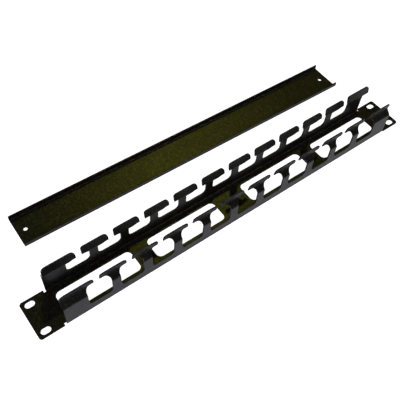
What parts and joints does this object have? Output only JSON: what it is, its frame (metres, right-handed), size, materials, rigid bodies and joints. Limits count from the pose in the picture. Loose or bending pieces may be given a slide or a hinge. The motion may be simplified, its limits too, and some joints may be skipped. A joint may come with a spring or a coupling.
{
  "type": "horizontal cable manager",
  "caption": "Folded sheet-steel rack cable duct with T-shaped fingers along both sides, slotted ears and cable windows, and its shallow loose cover lying beside it, inside up.",
  "frame": {"origin": "centre of the rear mounting face of the finger duct's back plate", "axes": "+X along the rack width, +Y along the rack height, +Z out of the rack, the way the fingers stand; the duct lies on its back and the cover lies beside it at +Y, inside up"},
  "size_m": [0.4826, 0.1355, 0.0461],
  "materials": {
    "duct_paint": "semi-gloss black powder coat",
    "cover_paint": "semi-gloss black powder coat"
  },
  "bodies": {
    "duct": {"finger_duct": "duct_paint"},
    "cover": {"cover": "cover_paint"}
  },
  "joints": [
    {"name": "cover_lift", "type": "slide", "parent": "duct", "child": "cover", "axis": [0, 0, 1], "range_m": [0, 0.12]}
  ]
}
